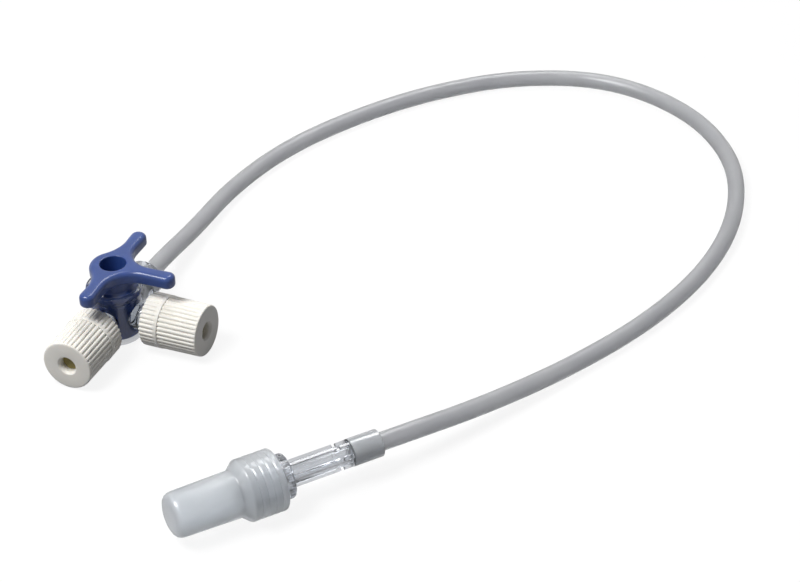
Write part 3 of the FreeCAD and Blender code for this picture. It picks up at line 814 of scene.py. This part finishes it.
def add_hub():
    """The male luer nose, the flange that holds the collar, the finned shank and the sleeve."""
    profile = softened(
        [
            (FLOW_RADIUS, 15.8), (1.98, 15.8), (2.244, 24.6),
            (3.5, 24.6), (3.5, 25.6),
            (2.28, 25.6), (2.28, 27.25), (SHANK_RADIUS, FIN_START),
            (SHANK_RADIUS, NOTCH_START), (SHANK_RADIUS, NOTCH_START + 0.05),
            (SHANK_RADIUS, NOTCH_END - 0.05), (SHANK_RADIUS, NOTCH_END),
            (SHANK_RADIUS, FIN_END), (SHANK_RADIUS + 0.02, FIN_END + 0.02),
            (SLEEVE_RADIUS, FIN_END + 0.05), (SLEEVE_RADIUS, CONNECTOR_END),
            (2.03, CONNECTOR_END), (2.03, 41.85), (FLOW_RADIUS, 41.85),
        ],
        [0.1, 0.2, 0, 0.15, 0.15, 0.1, 0, 0, 0, 0, 0, 0, 0, 0, 0.2, 0.3, 0.15, 0, 0],
    )
    bm = bmesh.new()
    lathe(bm, profile, HUB_COLUMNS, finned)
    hub = make_piece("finned_hub", bm, ON_CONNECTOR, CLEAR)
    hub.data.materials.append(BONDED)
    sleeve_length = CONNECTOR_END - FIN_END - 0.2
    for face in hub.data.polygons:
        if (SLEEVE_MOUTH - face.center / MM).dot(ALONG) < sleeve_length:
            face.material_index = 1
    return hub


def add_collar():
    profile = softened(
        [(3.95, 17.95), (4.95, 17.95), (4.95, 27.15), (2.35, 27.15), (2.35, 25.75), (3.95, 25.75)],
        [0.2, 0.3, 0.4, 0.2, 0, 0.2],
    )
    bm = bmesh.new()
    ribs = ribbed(COLLAR_RIBS, COLLAR_RIB_DEPTH, COLLAR_RIB_WIDTH, 4.6)
    lathe(bm, profile, COLLAR_COLUMNS, ribs)
    return make_piece("ribbed_collar", bm, ON_CONNECTOR, CLEAR)


def add_protector():
    """A hollow cap with grooves round its skirt. The long slope of each groove faces the tip."""
    grooves = []
    for k in range(1, RING_GROOVES + 1):
        groove = SKIRT_START + RING_PITCH * k
        grooves += [(SKIRT_SIDE, groove - 0.14), (6.63, groove), (SKIRT_SIDE, groove + 0.42)]
    profile = [
        (0, 0), (4.95, 0), (5.2, 15.0), (SKIRT_SIDE, SKIRT_START), *grooves,
        (SKIRT_SIDE, SKIRT_END), (5.25, SKIRT_END), (5.25, 16.6), (3.95, 16.0),
        (3.95, PROTECTOR_WALL_END), (0, PROTECTOR_WALL_END),
    ]
    radii = [0, 2.9, 0.8, 0.9, *[0.1, 0.1, 0.3] * RING_GROOVES, 0.7, 0.3, 0.3, 0.4, 1.2, 0]
    bm = bmesh.new()
    soft = softened(profile, radii, closed=False, steps=5)
    lathe(bm, soft, PROTECTOR_COLUMNS, closed=False)
    return make_piece("milky_protector", bm, ON_CONNECTOR, MILKY)


# Light, world and floor

WORLD_TINT, WORLD_STRENGTH = (0.92, 0.95, 1.0, 1), 0.13
WHITE = (1, 1, 1, 1)
FLOOR_SIZE, FLOOR_SEGMENTS = 1.6, 8
PAPER_SCALE = 60
GLOW_TO_CAMERA = 0.88
GLOW_IN_GLOSS = 0.55
LESS_THROUGH_CLEAR = 0.11


def add_area(name, place, target, size, power):
    data = bpy.data.lights.new(name, "AREA")
    data.shape = "RECTANGLE"
    data.size = data.size_y = size
    data.energy = power
    lamp = new_object(name, data)
    lamp.location = place
    lamp.rotation_euler = (Vector(target) - Vector(place)).to_track_quat("-Z", "Y").to_euler()


def set_world():
    """Faint soft light on the set, and plain white wherever the world is seen or mirrored."""
    world = bpy.data.worlds.new("studio")
    bpy.context.scene.world = world
    nodes = Nodes(world, "ShaderNodeOutputWorld")
    soft = nodes.node("ShaderNodeBackground", Color=WORLD_TINT, Strength=WORLD_STRENGTH)
    white = nodes.node("ShaderNodeBackground", Color=WHITE, Strength=1.0)
    path = nodes.node("ShaderNodeLightPath")
    seen = path.outputs["Is Camera Ray"]
    for ray in ("Is Glossy Ray", "Is Transmission Ray"):
        seen = nodes.math("MAXIMUM", seen, path.outputs[ray])
    both = nodes.mix(seen, soft.outputs["Background"], white.outputs["Background"])
    nodes.join(both, nodes.output.inputs["Surface"])


def add_floor():
    """Pale paper that glows to the camera, less in gloss, and less still through clear plastic.

    To every other ray it is dim paper without a glow.
    """
    bm = bmesh.new()
    bmesh.ops.create_grid(
        bm, x_segments=FLOOR_SEGMENTS, y_segments=FLOOR_SEGMENTS, size=FLOOR_SIZE
    )
    mesh = bpy.data.meshes.new("floor")
    bm.to_mesh(mesh)
    bm.free()
    material = bpy.data.materials.new("pale_paper")
    nodes = Nodes(material, "ShaderNodeOutputMaterial")
    paper = nodes.node("ShaderNodeBsdfDiffuse")
    grain = nodes.tones(nodes.noise(PAPER_SCALE), srgb(246, 246, 246), srgb(250, 250, 250))
    nodes.join(grain, paper.inputs["Color"])
    dim = nodes.node("ShaderNodeBsdfDiffuse", Color=(*srgb(135, 135, 138), 1))
    white = nodes.node("ShaderNodeEmission", Strength=1.0)
    path = nodes.node("ShaderNodeLightPath")
    camera, gloss = path.outputs["Is Camera Ray"], path.outputs["Is Glossy Ray"]
    clear = path.outputs["Is Transmission Ray"]
    glow = nodes.math("MULTIPLY_ADD", clear, -LESS_THROUGH_CLEAR, GLOW_IN_GLOSS)
    glow = nodes.math("MULTIPLY", gloss, glow)
    glow = nodes.math("MULTIPLY_ADD", camera, GLOW_TO_CAMERA, glow)
    plain = nodes.mix(camera, dim.outputs["BSDF"], paper.outputs["BSDF"])
    both = nodes.mix(glow, plain, white.outputs["Emission"])
    nodes.join(both, nodes.output.inputs["Surface"])
    mesh.materials.append(material)
    floor = new_object("floor", mesh)


# Build

add_camera()
tube_line = read_spline(ROUTE)
tube = add_tube(tube_line)
hub = add_hub()
collar = add_collar()
protector = add_protector()
handle = add_handle()
housing = add_housing()

for piece, body, node, slot in (
    (tube, "stopcock", "extension_tube", "frosted_tube"),
    (hub, "stopcock", "luer_hub", "clear_hub"),
    (collar, "collar", "lock_collar", "clear_hub"),
    (protector, "protector", "tip_protector", "milky_cap"),
    (handle, "handle", "handle_plug", "blue_handle"),
    (housing, "stopcock", "housing", "clear_body"),
):
    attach(piece, body)
    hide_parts(node)

# The turns put the ribs where the photograph has them, in radians.
for port, direction, turn in (("inline", INLINE, 0.06), ("side", SIDE, 0.11)):
    base, cap, septum = add_stopper(port, direction, turn)
    for piece, part, slot in (
        (base, "base", "white_stopper"),
        (cap, "cap", "white_stopper"),
        (septum, "septum", "septum_rubber"),
    ):
        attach(piece, f"stopper_{port}")
        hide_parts(f"stopper_{port}_{part}")

set_world()
add_floor()
add_area("key", place=(-0.24, -0.3, 0.78), target=(0.03, 0.02, 0), size=0.36, power=8.2)
add_area("back", place=(-0.06, 0.5, 0.72), target=(0.05, 0.02, 0), size=0.3, power=2.4)
bpy.context.scene.view_settings.view_transform = "Standard"
